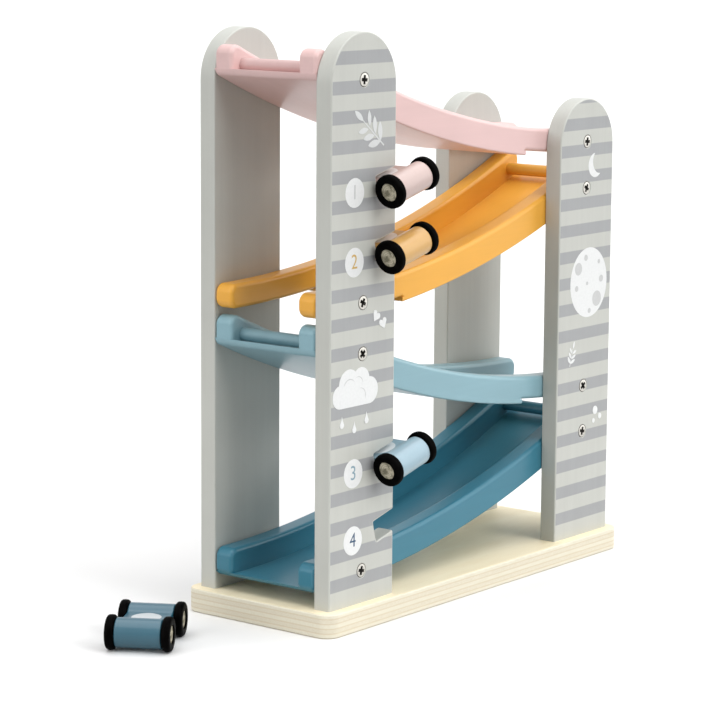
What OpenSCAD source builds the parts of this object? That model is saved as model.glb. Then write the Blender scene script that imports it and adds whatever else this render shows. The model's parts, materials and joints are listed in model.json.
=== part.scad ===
// Four-level wooden car track: four curved ramps zigzag down between upright boards
// on a plywood base. Three cars are parked in notches, one stands on the floor.
// Millimetres, +Z up, +X along the base. The origin is the middle of the base's underside.

/* [Tower] */
// Height of the tall uprights' tops above the floor
tower_h = 290; // [270:1:320]
// Height of the short uprights' tops above the floor
short_h = 249; // [240:1:270]
// Distance between the outer edges of the left and right uprights
tower_l = 242; // [230:1:260]
// Width of an upright board
upright_w = 50; // [42:1:60]
// Thickness of an upright board
upright_t = 9.5; // [8:0.5:11]
// Width of a ramp, which is also the space between the front and back uprights
track_w = 63.5; // [58:0.5:80]

/* [Base] */
// Length of the base board
base_l = 254; // [246:1:300]
// Depth of the base board
base_d = 93; // [86:1:120]
// Thickness of the base board
base_t = 12; // [8:0.5:14]
// Radius of the base board's corners in plan
base_corner_r = 7.5; // [2:0.5:20]

/* [Ramps] */
// Height of the lowest ramp's rails above the floor at their low end
low_end_z = 21.4; // [19:0.1:30]
// Height from one ramp to the next
ramp_pitch = 66; // [60:0.1:67]
// Height of a rail at the ramp's low end
rail_h = 12.2; // [11:0.1:14]
// Height of a rail at the ramp's upper end
rail_end_h = 14.1; // [12:0.1:16]
// Gap between a rail's upper end and the next ramp above it
ramp_gap = 0.6; // [0.4:0.1:3]
// Thickness of a rail
rail_t = 11; // [8:0.5:12]
// Radius that rounds the upper corners of a rail's ends
rail_end_r = 5; // [1:0.5:5.5]
// Radius that rounds the lower corners of a ramp's ends
ramp_foot_r = 5; // [1:0.5:5.5]
// Thickness of a ramp's floor
floor_t = 2.5; // [1.5:0.1:4]
// Length of the drop hole between a ramp's low end and its floor
drop_l = 68.5; // [50:0.5:75]
// Diameter of a stop bar
bar_d = 6.5; // [4:0.5:8]
// Gap between a stop bar and the floor
bar_lift = 2; // [0.5:0.1:3]
// How far a stop bar's ends are sunk into the rails
bar_sink = 4; // [1:0.5:6]
// Distance from the ramp's upper end to the place on the floor below the stop bar
bar_inset = 7; // [6:0.5:20]

/* [Screws] */
// Diameter of a screw head
screw_head_d = 7.6; // [6:0.1:9]
// Diameter of a screw shank
screw_d = 3; // [2:0.1:3.5]
// Length of the screws through the uprights
screw_l = 18; // [14:0.5:19]
// Length of the screws through the base
base_screw_l = 30; // [20:1:40]
// Distance of the screws through the base from an upright's middle
base_screw_x = 15; // [8:1:18]
// How far the screws through the base are sunk into its underside
base_screw_sink = 0.4; // [0:0.1:1]

/* [Parking notches] */
// Height of the lowest notch's inner end
notch_low_z = 45.6; // [44:0.1:48]
// Height between the notches of the lower pair
notch_low_pair_z = 33.8; // [30:0.1:35]
// Height from the lower pair to the upper pair
notch_group_z = 137.8; // [134:0.1:140]
// Height between the notches of the upper pair
notch_top_pair_z = 31.7; // [30:0.1:35]
// Slope of a notch in degrees
notch_tilt = 14.6; // [8:0.1:18]
// Height of a notch
notch_h = 10.4; // [9.4:0.1:11]
// Depth of a notch at its middle
notch_depth = 14.5; // [12:0.5:16]

/* [Cars] */
// Diameter of a wheel
wheel_d = 17; // [15:0.1:18]
// Width of a tyre
tyre_w = 4.2; // [3:0.1:5]
// Width across the tyres
car_w = 31.5; // [28:0.5:36]
// Distance between the axles
wheelbase = 28.5; // [28:0.5:34]
// Diameter of the body's round ends
body_end_d = 14.3; // [13:0.1:15]
// Thickness of the body's waist
waist_h = 8.2; // [6:0.1:9]
// Radius between the waist and the round ends
waist_fillet_r = 5; // [2:0.5:8]
// Diameter of an axle
axle_d = 3; // [2:0.1:4]
// Diameter of a wooden hub
hub_d = 12; // [11:0.1:13]
// Diameter of the hub that shows in a tyre
hub_face_d = 9; // [8:0.1:10]
// Distance of the floor car's middle from the base's middle along the length
floor_car_x = -184.4; // [-230:0.1:-165]
// Distance of the floor car's middle from the base's middle along the depth
floor_car_y = 19.3; // [-40:0.1:60]
// Direction of the floor car's axles in degrees
floor_car_turn = -59.7; // [-90:0.1:-30]

/* [Clearances] */
// Radial clearance of an axle in its body
axle_clearance = 0.05; // [0.02:0.01:0.1]
// Radial clearance of a screw in its hole
screw_clearance = 0.05; // [0.02:0.01:0.1]
// Gap between a parked car and its notch
seat_gap = 0.25; // [0.1:0.05:0.3]
// Gap between a wheel and its car's body
wheel_gap = 0.25; // [0.15:0.05:0.4]

/* [Hidden] */
$fn = 96;
ramp_fn = 720;
overrun = 1;
half_l = tower_l / 2;
face_y = track_w / 2;
outer_y = face_y + upright_t;
upright_x = half_l - upright_w / 2;
wheel_r = wheel_d / 2;

// A rail's edges are arcs that lie level at the low end and rise to the upper end
rail_top_rise = ramp_pitch - rail_h - ramp_gap;
rail_low_rise = rail_top_rise + rail_h - rail_end_h;
function arc_r(rise) = (tower_l * tower_l + rise * rise) / (2 * rise);
rail_top_r = arc_r(rail_top_rise);
rail_low_r = arc_r(rail_low_rise);

// Share of a round's radius by which it bites into the edges that it joins
round_bite_share = 0.01;

// Ramps: index 0 is the lowest. side is -1 where the low end is on the left, 1 on the right.
ramp_side = [-1, 1, -1, 1];
function low_z(i) = low_end_z + i * ramp_pitch;
function rail_rise(r, u) = r - sqrt(r * r - u * u);
function rail_mid_z(i, u) = low_z(i) + (rail_rise(rail_low_r, u) + rail_h + rail_rise(rail_top_r, u)) / 2;
bar_u = tower_l - bar_inset;
bar_slope = asin(bar_u / rail_low_r);
screw_u_low = upright_w / 2;
screw_u_high = tower_l - upright_w / 2;

// Screws
countersink_depth = (screw_head_d - screw_d) / 2;
cross_w = screw_d / 3;
cross_l_share = 0.55;
cross_l = screw_head_d * cross_l_share;
cross_depth_share = 0.6;
cross_depth = countersink_depth * cross_depth_share;
tip_l = screw_d;

// Notches: index 0 is the lowest
notch_z = [notch_low_z, notch_low_z + notch_low_pair_z,
           notch_low_z + notch_group_z, notch_low_z + notch_group_z + notch_top_pair_z];
// A corner this round keeps clear of the square edge of a parked car
notch_corner_r = 3 * seat_gap;
notch_end_x = upright_w - half_l - notch_depth;
body_w = car_w - 2 * tyre_w - 2 * wheel_gap;
park_along = seat_gap + car_w / 2 - tyre_w - wheel_gap;
park_up = (waist_h - notch_h) / 2 + seat_gap;
function parked_place(i) = [
    notch_end_x + park_along * cos(notch_tilt) - park_up * sin(notch_tilt),
    -(face_y + upright_t / 2),
    notch_z[i] + park_along * sin(notch_tilt) + park_up * cos(notch_tilt)];

// Wheels
fillet_bite = waist_fillet_r * round_bite_share;
track = car_w - tyre_w;
tyre_lip = tyre_w / 5;
hub_t = tyre_w - tyre_lip;
tyre_round_r = tyre_w / 4;
axle_l = track + tyre_lip;

// A board's outline, laid flat: a rectangle with rounded corners
module rounded_rectangle(l, d, r) {
    union() {
        square([l - 2 * r, d], center = true);
        square([l, d - 2 * r], center = true);
        for (x = [-1, 1], y = [-1, 1])
            translate([x * (l / 2 - r), y * (d / 2 - r)])
                circle(r = r);
    }
}

// One countersunk cross-head screw, pointing along +Z, its head's face at z = 0
module screw(l) {
    difference() {
        union() {
            cylinder(h = countersink_depth, d1 = screw_head_d, d2 = screw_d);
            cylinder(h = l - tip_l, d = screw_d);
            translate([0, 0, l - tip_l])
                cylinder(h = tip_l, d1 = screw_d, d2 = screw_d / 4);
        }
        for (turn = [0, 90])
            rotate([0, 0, turn])
                translate([-cross_l / 2, -cross_w / 2, -overrun])
                    cube([cross_l, cross_w, cross_depth + overrun]);
    }
}

// The space that a screw takes, with its clearance, open at the head's side
module screw_hole(l) {
    union() {
        translate([0, 0, -overrun])
            cylinder(h = overrun, d = screw_head_d + 2 * screw_clearance);
        cylinder(h = countersink_depth + screw_clearance,
                 d1 = screw_head_d + 2 * screw_clearance, d2 = screw_d + 2 * screw_clearance);
        cylinder(h = l + screw_clearance, d = screw_d + 2 * screw_clearance);
    }
}

// Heights of the four screws in an upright on the given side
function upright_screw_z(side) = [for (i = [0:3])
    rail_mid_z(i, ramp_side[i] == side ? screw_u_low : screw_u_high)];

// Places something at each screw of one upright, pointing inwards
module at_upright_screws(side, front) {
    for (z = upright_screw_z(side))
        translate([side * upright_x, front * outer_y, z])
            rotate([90 * front, 0, 0])
                children();
}

// Places something at each screw under one upright, pointing up
module at_base_screws(side, front) {
    for (along = [-1, 1])
        translate([side * upright_x + along * base_screw_x,
                   front * (face_y + upright_t / 2),
                   base_screw_sink])
            children();
}

// Base board
module base_board_shape() {
    difference() {
        linear_extrude(height = base_t)
            rounded_rectangle(base_l, base_d, base_corner_r);
        for (side = [-1, 1], front = [-1, 1])
            at_base_screws(side, front)
                screw_hole(base_screw_l);
    }
}

// Profile of one parking notch seen from the front, its inner end's middle at the origin
module notch_profile() {
    rotate(notch_tilt) {
        difference() {
            translate([0, -notch_h / 2])
                square([upright_w, notch_h]);
            for (up = [0, 1])
                mirror([0, up])
                    notch_corner();
        }
    }
}

// What a notch's rounded inner corner leaves standing
module notch_corner() {
    translate([0, -notch_h / 2])
        difference() {
            translate([-overrun, -overrun])
                square(notch_corner_r + overrun);
            translate([notch_corner_r, notch_corner_r])
                circle(r = notch_corner_r);
        }
}

// One upright, its foot on the base
module upright(side, front, top_z, notched = false) {
    r = upright_w / 2;
    difference() {
        translate([side * upright_x, front * (face_y + upright_t / 2) + upright_t / 2, 0])
            rotate([90, 0, 0])
                linear_extrude(height = upright_t)
                    union() {
                        translate([-r, base_t])
                            square([upright_w, top_z - r - base_t]);
                        translate([0, top_z - r])
                            circle(r = r);
                    }
        at_upright_screws(side, front)
            screw_hole(screw_l);
        at_base_screws(side, front)
            screw_hole(base_screw_l);
        if (notched)
            for (z = notch_z)
                translate([notch_end_x, -face_y + overrun, z])
                    rotate([90, 0, 0])
                        linear_extrude(height = upright_t + 2 * overrun)
                            notch_profile();
    }
}

// Side view of a ramp in which x runs from the low end's edge up the ramp
module rail_profile(on_floor) {
    difference() {
        intersection() {
            translate([0, rail_low_r])
                circle(r = rail_low_r, $fn = ramp_fn);
            square([tower_l, rail_low_r]);
        }
        translate([0, rail_h + rail_top_r])
            circle(r = rail_top_r, $fn = ramp_fn);
        top_end_cut(0, 1);
        top_end_cut(tower_l, -1);
        foot_end_cut(0, 1, on_floor ? floor_t : 0);
        foot_end_cut(tower_l, -1, floor_t);
    }
}

// Takes a rail's upper corner away at the end at x
module top_end_cut(x, inward) {
    corner_cut(x, inward, rail_end_r, rail_h + rail_top_r, rail_top_r, 1);
}

// Takes a ramp's lower corner away at the end at x, where its foot is below the rail by depth
module foot_end_cut(x, inward, depth) {
    corner_cut(x, inward, ramp_foot_r, rail_low_r, rail_low_r + depth, -1);
}

// What a round of radius r leaves outside at the end at x. It rounds the corner above or below
// an arc of radius edge_r round [0, edge_y]. The round's circle bites a little into the arc and
// the end, so that it surely meets them.
module corner_cut(x, inward, r, edge_y, edge_r, up) {
    middle = r * (1 - round_bite_share);
    reach = edge_r + up * middle;
    lean = (x + inward * middle) / reach;
    rise = sqrt(1 - lean * lean);
    centre = [x + inward * middle, edge_y - reach * rise];
    out = r + overrun;
    difference() {
        polygon([
            centre,
            [centre[0] - up * out * lean, centre[1] + up * out * rise],
            [x - inward * overrun, centre[1] + 2 * up * out],
            [x - inward * overrun, centre[1]]]);
        translate(centre)
            circle(r = r);
    }
}

// Side view of a floor under the rails, from the drop hole or the low end up
module floor_profile(start) {
    difference() {
        intersection() {
            translate([0, rail_low_r])
                circle(r = rail_low_r + floor_t, $fn = ramp_fn);
            translate([start, -floor_t])
                square([tower_l - start, rail_low_r]);
        }
        translate([0, rail_low_r])
            circle(r = rail_low_r, $fn = ramp_fn);
        if (start == 0)
            foot_end_cut(0, 1, floor_t);
        foot_end_cut(tower_l, -1, floor_t);
    }
}

// Stands a side view up at ramp i, from depth y0 to y1
module ramp_slice(i, y0, y1) {
    side = ramp_side[i];
    translate([side * half_l, y1, low_z(i)])
        mirror([side > 0 ? 1 : 0, 0, 0])
            rotate([90, 0, 0])
                linear_extrude(height = y1 - y0)
                    children();
}

// One rail, bored for the screws that hold it and for the stop bar
module rail(i, front) {
    y0 = front > 0 ? face_y - rail_t : -face_y;
    difference() {
        ramp_slice(i, y0, y0 + rail_t)
            rail_profile(i == 0);
        stop_bar(i);
        for (side = [-1, 1])
            at_upright_screws(side, front)
                screw_hole(screw_l);
    }
}

module ramp_floor(i) {
    ramp_slice(i, -face_y, face_y)
        floor_profile(i == 0 ? 0 : drop_l);
}

// Round bar across the channel at the ramp's upper end, its ends sunk into the rails
module stop_bar(i) {
    end_y = face_y - rail_t + bar_sink;
    ramp_slice(i, -end_y, end_y)
        translate([bar_u, rail_rise(rail_low_r, bar_u)])
            rotate(bar_slope)
                translate([0, bar_lift + bar_d / 2])
                    circle(d = bar_d);
}

// Side view of a car: round ends joined by a waist, with fillets between them.
// A fillet's circle bites a little into the round end, so that the two surely meet.
module body_profile() {
    end_r = body_end_d / 2;
    reach = end_r + waist_fillet_r - fillet_bite;
    fillet_y = waist_h / 2 + waist_fillet_r;
    fillet_dx = sqrt(reach * reach - fillet_y * fillet_y);
    fillet_x = wheelbase / 2 - fillet_dx;
    meet_share = (end_r - fillet_bite / 2) / reach;
    meet = [wheelbase / 2 - fillet_dx * meet_share, fillet_y * meet_share];
    union() {
        for (along = [-1, 1])
            translate([along * wheelbase / 2, 0])
                circle(r = end_r);
        difference() {
            polygon([
                [wheelbase / 2, 0], meet, [fillet_x, fillet_y],
                [-fillet_x, fillet_y], [-meet[0], meet[1]],
                [-wheelbase / 2, 0], [-meet[0], -meet[1]], [-fillet_x, -fillet_y],
                [fillet_x, -fillet_y], [meet[0], -meet[1]]]);
            for (up = [0, 1])
                mirror([0, up]) {
                    translate([-fillet_x, waist_h / 2])
                        square([2 * fillet_x, 2 * waist_fillet_r]);
                    for (along = [-1, 1])
                        translate([along * fillet_x, fillet_y])
                            circle(r = waist_fillet_r);
                }
        }
    }
}

// Car in its own frame: axles along X, driving along Y, middle at the origin
module car_body() {
    difference() {
        translate([-body_w / 2, 0, 0])
            rotate([90, 0, 90])
                linear_extrude(height = body_w)
                    body_profile();
        for (along = [-1, 1])
            translate([-body_w, along * wheelbase / 2, 0])
                rotate([0, 90, 0])
                    cylinder(h = 2 * body_w, d = axle_d + 2 * axle_clearance);
    }
}

// Places something at an axle of the car, along = -1 for the front axle, 1 for the rear
module at_axle(along) {
    translate([0, along * wheelbase / 2, 0])
        rotate([0, 90, 0])
            children();
}

// Places something at both ends of an axle, its z = 0 at the inner face of a wheel
module at_wheels(along) {
    at_axle(along)
        for (end = [0, 1])
            mirror([0, 0, end])
                translate([0, 0, car_w / 2 - tyre_w])
                    children();
}

module axle(along) {
    at_axle(along)
        cylinder(h = axle_l, d = axle_d, center = true);
}

// Hubs glued on the axle's ends
module hubs(along) {
    at_wheels(along)
        difference() {
            cylinder(h = hub_t, d = hub_d);
            translate([0, 0, -overrun])
                cylinder(h = (axle_l - car_w) / 2 + tyre_w + overrun, d = axle_d);
        }
}

// Tyres round the hubs, with a lip over the hub's face
module tyres(along) {
    at_wheels(along)
        rotate_extrude()
            union() {
                translate([hub_d / 2, 0])
                    square([wheel_r - hub_d / 2 - tyre_round_r, tyre_w]);
                translate([hub_face_d / 2, hub_t])
                    square([wheel_r - tyre_round_r - hub_face_d / 2, tyre_lip]);
                translate([hub_d / 2, tyre_round_r])
                    square([wheel_r - hub_d / 2, tyre_w - 2 * tyre_round_r]);
                for (z = [tyre_round_r, tyre_w - tyre_round_r])
                    translate([wheel_r - tyre_round_r, z])
                        circle(r = tyre_round_r);
            }
}

// Stands one piece of a car where the car is: slot 0 to 2 are parked, 3 is on the floor
module place_car(slot) {
    if (slot == 3)
        translate([floor_car_x, floor_car_y, wheel_r])
            rotate([0, 0, floor_car_turn])
                children();
    else
        translate(parked_place(slot + 1))
            rotate([0, -notch_tilt, 0])
                children();
}

// Colours of the four sets, from the bottom: blue, light blue, yellow, pink
set_colours = [[0.24, 0.43, 0.53], [0.52, 0.67, 0.74], [0.93, 0.70, 0.29], [0.93, 0.76, 0.76]];
module upright_paint() { color([0.74, 0.74, 0.74]) children(); }
module plywood() { color([0.93, 0.87, 0.74]) children(); }
module steel() { color([0.7, 0.7, 0.7]) children(); }
module rubber() { color([0.05, 0.05, 0.05]) children(); }

module base_board() { plywood() base_board_shape(); }
module front_left_upright() { upright_paint() upright(-1, -1, tower_h, true); }
module back_left_upright() { upright_paint() upright(-1, 1, tower_h); }
module front_right_upright() { upright_paint() upright(1, -1, short_h); }
module back_right_upright() { upright_paint() upright(1, 1, short_h); }
module front_left_screws() { steel() at_upright_screws(-1, -1) screw(screw_l); }
module back_left_screws() { steel() at_upright_screws(-1, 1) screw(screw_l); }
module front_right_screws() { steel() at_upright_screws(1, -1) screw(screw_l); }
module back_right_screws() { steel() at_upright_screws(1, 1) screw(screw_l); }
module base_screws() {
    steel()
        for (side = [-1, 1], front = [-1, 1])
            at_base_screws(side, front)
                screw(base_screw_l);
}

module ramp_piece(i, piece) {
    color(set_colours[i]) {
        if (piece == "floor") ramp_floor(i);
        if (piece == "front_rail") rail(i, -1);
        if (piece == "back_rail") rail(i, 1);
        if (piece == "stop_bar") stop_bar(i);
    }
}

module car_piece(slot, paint, piece) {
    place_car(slot) {
        if (piece == "body") color(set_colours[paint]) car_body();
        if (piece == "front_axle") steel() axle(-1);
        if (piece == "rear_axle") steel() axle(1);
        if (piece == "front_hubs") plywood() hubs(-1);
        if (piece == "rear_hubs") plywood() hubs(1);
        if (piece == "front_tyres") rubber() tyres(-1);
        if (piece == "rear_tyres") rubber() tyres(1);
    }
}

base_board();
front_left_upright();
back_left_upright();
front_right_upright();
back_right_upright();
front_left_screws();
back_left_screws();
front_right_screws();
back_right_screws();
base_screws();
ramp_piece(3, "floor");  // pink_ramp_floor
ramp_piece(3, "front_rail");  // pink_ramp_front_rail
ramp_piece(3, "back_rail");  // pink_ramp_back_rail
ramp_piece(3, "stop_bar");  // pink_ramp_stop_bar
ramp_piece(2, "floor");  // yellow_ramp_floor
ramp_piece(2, "front_rail");  // yellow_ramp_front_rail
ramp_piece(2, "back_rail");  // yellow_ramp_back_rail
ramp_piece(2, "stop_bar");  // yellow_ramp_stop_bar
ramp_piece(1, "floor");  // light_blue_ramp_floor
ramp_piece(1, "front_rail");  // light_blue_ramp_front_rail
ramp_piece(1, "back_rail");  // light_blue_ramp_back_rail
ramp_piece(1, "stop_bar");  // light_blue_ramp_stop_bar
ramp_piece(0, "floor");  // blue_ramp_floor
ramp_piece(0, "front_rail");  // blue_ramp_front_rail
ramp_piece(0, "back_rail");  // blue_ramp_back_rail
ramp_piece(0, "stop_bar");  // blue_ramp_stop_bar
car_piece(2, 3, "body");  // pink_car_body
car_piece(2, 3, "front_axle");  // pink_car_front_axle
car_piece(2, 3, "rear_axle");  // pink_car_rear_axle
car_piece(2, 3, "front_hubs");  // pink_car_front_hubs
car_piece(2, 3, "rear_hubs");  // pink_car_rear_hubs
car_piece(2, 3, "front_tyres");  // pink_car_front_tyres
car_piece(2, 3, "rear_tyres");  // pink_car_rear_tyres
car_piece(1, 2, "body");  // yellow_car_body
car_piece(1, 2, "front_axle");  // yellow_car_front_axle
car_piece(1, 2, "rear_axle");  // yellow_car_rear_axle
car_piece(1, 2, "front_hubs");  // yellow_car_front_hubs
car_piece(1, 2, "rear_hubs");  // yellow_car_rear_hubs
car_piece(1, 2, "front_tyres");  // yellow_car_front_tyres
car_piece(1, 2, "rear_tyres");  // yellow_car_rear_tyres
car_piece(0, 1, "body");  // light_blue_car_body
car_piece(0, 1, "front_axle");  // light_blue_car_front_axle
car_piece(0, 1, "rear_axle");  // light_blue_car_rear_axle
car_piece(0, 1, "front_hubs");  // light_blue_car_front_hubs
car_piece(0, 1, "rear_hubs");  // light_blue_car_rear_hubs
car_piece(0, 1, "front_tyres");  // light_blue_car_front_tyres
car_piece(0, 1, "rear_tyres");  // light_blue_car_rear_tyres
car_piece(3, 0, "body");  // blue_car_body
car_piece(3, 0, "front_axle");  // blue_car_front_axle
car_piece(3, 0, "rear_axle");  // blue_car_rear_axle
car_piece(3, 0, "front_hubs");  // blue_car_front_hubs
car_piece(3, 0, "rear_hubs");  // blue_car_rear_hubs
car_piece(3, 0, "front_tyres");  // blue_car_front_tyres
car_piece(3, 0, "rear_tyres");  // blue_car_rear_tyres
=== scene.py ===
"""Looks of a four-level wooden car track toy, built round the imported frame."""

import json
import math

import bmesh
import bpy
from mathutils import Matrix, Vector
from mathutils.bvhtree import BVHTree


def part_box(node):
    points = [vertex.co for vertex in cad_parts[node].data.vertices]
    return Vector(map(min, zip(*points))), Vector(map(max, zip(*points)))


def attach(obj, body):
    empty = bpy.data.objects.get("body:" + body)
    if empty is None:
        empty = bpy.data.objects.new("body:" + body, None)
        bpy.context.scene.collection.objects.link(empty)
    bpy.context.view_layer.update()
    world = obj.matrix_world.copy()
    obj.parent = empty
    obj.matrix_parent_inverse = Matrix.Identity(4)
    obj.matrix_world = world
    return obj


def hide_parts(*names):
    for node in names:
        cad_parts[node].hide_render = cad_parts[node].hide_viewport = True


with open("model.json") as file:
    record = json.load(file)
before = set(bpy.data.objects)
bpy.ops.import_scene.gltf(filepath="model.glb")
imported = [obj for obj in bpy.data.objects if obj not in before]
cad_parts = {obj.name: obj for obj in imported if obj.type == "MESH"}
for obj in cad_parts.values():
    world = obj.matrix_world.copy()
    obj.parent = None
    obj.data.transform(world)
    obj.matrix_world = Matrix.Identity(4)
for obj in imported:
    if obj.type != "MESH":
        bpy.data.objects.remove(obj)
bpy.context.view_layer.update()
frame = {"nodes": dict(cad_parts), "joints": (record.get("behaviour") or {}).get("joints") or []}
NODES = frame["nodes"]
MM = 0.001

# Camera, floor and light

# Where the photograph was taken from, in mm, and how the camera was turned there, in degrees
CAMERA_PLACE = (-1111.83, -843.47, 346.22)
CAMERA_TURN = 52.624
CAMERA_TILT = 8.329
CAMERA_ROLL = 0.52
CAMERA_LENS = 137.08
CAMERA_SHIFT = (-0.0693, -0.0659)

# Each light's name, where it comes from, its strength and its spread in degrees
SOFTBOXES = (
    ("overhead_softbox", (0.05, -0.10, 1), 2.75, 80),
    ("front_softbox", (0.05, -1, 0.55), 1.38, 32),
    ("left_softbox", (-1, 0.30, 0.45), 1.35, 50),
    ("right_softbox", (1, -0.55, 0.45), 1.1, 50),
)
# How bright the surroundings are as a light, and as seen
SURROUNDING_LIGHT = 0.11
SURROUNDING_SEEN = 1.0
FLOOR_HALF_WIDTH = 30


def place_camera():
    """The photograph's viewpoint: front left, a little above the toy, long lens."""
    camera = bpy.data.cameras.new("photo_camera")
    camera.sensor_width = 36
    camera.lens = CAMERA_LENS
    camera.shift_x, camera.shift_y = CAMERA_SHIFT
    camera.clip_end = 60
    turn, tilt, roll = (math.radians(angle) for angle in (CAMERA_TURN, CAMERA_TILT, CAMERA_ROLL))
    ahead = math.cos(tilt)
    forward = Vector((math.sin(turn) * ahead, math.cos(turn) * ahead, -math.sin(tilt)))
    level = Vector((math.cos(turn), -math.sin(turn), 0))
    upward = level.cross(forward)
    right = level * math.cos(roll) + upward * math.sin(roll)
    up = upward * math.cos(roll) - level * math.sin(roll)
    holder = bpy.data.objects.new("photo_camera", camera)
    lay = Matrix((right, up, -forward)).transposed().to_4x4()
    holder.matrix_world = Matrix.Translation(Vector(CAMERA_PLACE) * MM) @ lay
    bpy.context.scene.collection.objects.link(holder)
    bpy.context.scene.camera = holder


def place_sun(name, direction, strength, spread):
    """A soft white light from far away; direction is where it comes from."""
    sun = bpy.data.lights.new(name, "SUN")
    sun.energy = strength
    sun.angle = math.radians(spread)
    holder = bpy.data.objects.new(name, sun)
    holder.rotation_euler = Vector(direction).to_track_quat("Z", "Y").to_euler()
    bpy.context.scene.collection.objects.link(holder)


def seen_bright(tree):
    """One for what the camera sees and for what glossy faces mirror, else nought."""
    path = tree.nodes.new("ShaderNodeLightPath")
    return number(tree, "MAXIMUM", path.outputs["Is Camera Ray"], path.outputs["Is Glossy Ray"])


def build_studio():
    """Pale floor, soft lights above, in front and at both sides, and white surroundings."""
    bm = bmesh.new()
    bmesh.ops.create_grid(bm, x_segments=1, y_segments=1, size=FLOOR_HALF_WIDTH)
    finish_mesh(bm, "studio_floor", [studio_floor_finish()])
    for softbox in SOFTBOXES:
        place_sun(*softbox)
    world = bpy.data.worlds.new("studio")
    world.use_nodes = True
    bpy.context.scene.world = world
    tree = world.node_tree
    tree.nodes.clear()
    soft = put(tree, "ShaderNodeBackground", {"Color": (1, 1, 1, 1), "Strength": SURROUNDING_LIGHT})
    seen = put(tree, "ShaderNodeBackground", {"Color": (1, 1, 1, 1), "Strength": SURROUNDING_SEEN})
    both = {0: seen_bright(tree), 1: soft.outputs[0], 2: seen.outputs[0]}
    mix = put(tree, "ShaderNodeMixShader", both)
    put(tree, "ShaderNodeOutputWorld", {"Surface": mix.outputs[0]})
    bpy.context.scene.view_settings.view_transform = "Standard"


# Shader helpers


def new_group(name, inputs, outputs):
    """A shader group with typed sockets; returns its tree, its input node and its output node."""
    tree = bpy.data.node_groups.new(name, "ShaderNodeTree")
    for socket, kind, value in inputs:
        made = tree.interface.new_socket(socket, in_out="INPUT", socket_type="NodeSocket" + kind)
        if value is not None:
            made.default_value = value
    for socket, kind in outputs:
        tree.interface.new_socket(socket, in_out="OUTPUT", socket_type="NodeSocket" + kind)
    return tree, tree.nodes.new("NodeGroupInput"), tree.nodes.new("NodeGroupOutput")


def put(tree, kind, values, **settings):
    """A node of that kind, with its settings, and its inputs set or linked by name or number."""
    node = tree.nodes.new(kind)
    for name, value in settings.items():
        setattr(node, name, value)
    for name, value in values.items():
        if isinstance(value, bpy.types.NodeSocket):
            tree.links.new(value, node.inputs[name])
        else:
            node.inputs[name].default_value = value
    return node


def number(tree, operation, *values):
    """A Math node's output."""
    return put(tree, "ShaderNodeMath", dict(enumerate(values)), operation=operation).outputs[0]


def ramp(tree, value, low, high, to_low=0.0, to_high=1.0):
    """A clamped straight ramp's output."""
    values = {
        "Value": value, "From Min": low, "From Max": high, "To Min": to_low, "To Max": to_high,
    }
    return put(tree, "ShaderNodeMapRange", values).outputs[0]


def stretched(tree, vector, scale):
    """The vector with each axis scaled by its own amount."""
    return put(tree, "ShaderNodeMapping", {"Vector": vector, "Scale": scale}).outputs[0]


def noise(tree, vector, scale, detail, roughness=0.5):
    """A Noise Texture's value output."""
    values = {"Vector": vector, "Scale": scale, "Detail": detail, "Roughness": roughness}
    return put(tree, "ShaderNodeTexNoise", values).outputs[0]


def blend_colour(tree, factor, a, b, mode="MIX"):
    """A colour mix's output; a and b are colours or sockets."""
    node = tree.nodes.new("ShaderNodeMix")
    node.data_type = "RGBA"
    node.blend_type = mode
    for socket, value in ((node.inputs[0], factor), (node.inputs[6], a), (node.inputs[7], b)):
        if isinstance(value, bpy.types.NodeSocket):
            tree.links.new(value, socket)
        else:
            socket.default_value = value if isinstance(value, float) else (*value[:3], 1)
    return node.outputs[2]


def shaded(tree, colour, shade):
    """A colour made lighter or darker by a number that varies over the surface."""
    grey = put(tree, "ShaderNodeCombineColor", {part: shade for part in ("Red", "Green", "Blue")})
    return blend_colour(tree, 1.0, colour, grey.outputs[0], "MULTIPLY")


def new_finish(name, roughness=0.5, **sockets):
    """A material with one Principled BSDF; sockets are set by name with underscores for spaces."""
    made = bpy.data.materials.new(name)
    made.use_nodes = True
    tree = made.node_tree
    bsdf = tree.nodes["Principled BSDF"]
    bsdf.inputs["Roughness"].default_value = roughness
    for key, value in sockets.items():
        bsdf.inputs[key.replace("_", " ")].default_value = value
    return made, tree, bsdf


def object_place(tree, place=(0, 0, 0), turn=(0, 0, 0)):
    """Object coordinates, centred on a place and turned with a piece."""
    coords = tree.nodes.new("ShaderNodeTexCoord").outputs["Object"]
    values = {"Vector": coords, "Location": place, "Rotation": turn}
    return put(tree, "ShaderNodeMapping", values, vector_type="TEXTURE").outputs[0]


def reach_of(tree, vector):
    """How far a vector reaches."""
    return put(tree, "ShaderNodeVectorMath", {0: vector}, operation="LENGTH").outputs["Value"]


def add_bump(tree, bsdf, height, distance):
    """Feeds a height into the finish's normal."""
    bump = put(tree, "ShaderNodeBump", {"Height": height, "Distance": distance, "Strength": 1.0})
    tree.links.new(bump.outputs[0], bsdf.inputs["Normal"])


# Effects that several finishes share

# How fine each noise is along x, y and z, per metre
FIBRES = (620, 620, 16)
FIBRE_BANDS = (130, 130, 7)
PLY_FIGURE = (9, 70, 70)
PLY_FLECKS = (120, 900, 900)
PLY_WANDER = (12, 12, 30)
PLY_PORES = (700, 700, 2600)
ORANGE_PEEL = 1500.0
PAINT_MOTTLE = 38.0
# Half the width, in metres, over which a stripe's edge fades
STRIPE_FADE = 0.00015
# How far a ply's face wanders, as a share of the board's thickness
PLY_WAVE = 0.012
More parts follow.
